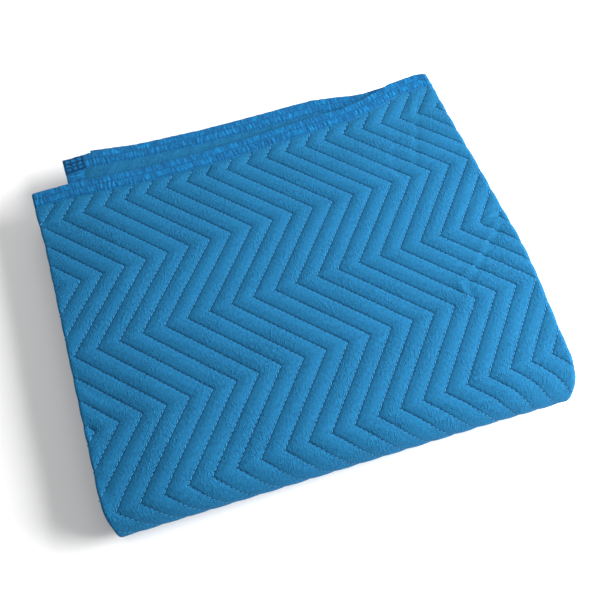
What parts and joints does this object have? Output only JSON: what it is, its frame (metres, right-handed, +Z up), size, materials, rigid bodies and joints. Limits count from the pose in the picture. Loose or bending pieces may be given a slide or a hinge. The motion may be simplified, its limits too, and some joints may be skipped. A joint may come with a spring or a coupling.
{
  "type": "folded quilted moving blanket",
  "caption": "Quilted blue moving blanket with bound edges, folded into a flat rectangular bundle for storage.",
  "frame": {"origin": "middle of the bundle's footprint, on the surface that it rests on", "axes": "+X along the bundle's width, to the right as seen from the big rounded near fold; +Y towards the bound far edge; +Z up"},
  "size_m": [0.5307, 0.4927, 0.0491],
  "materials": {
    "quilted_felt": "matt nonwoven polyester felt, quilted",
    "binding_tape": "woven polyester tape with a soft sheen"
  },
  "bodies": {
    "root": {"blanket_cloth": "quilted_felt", "top_end_binding": "binding_tape", "lower_end_binding": "binding_tape", "under_side_binding": "binding_tape", "third_side_binding": "binding_tape"}
  },
  "joints": []
}
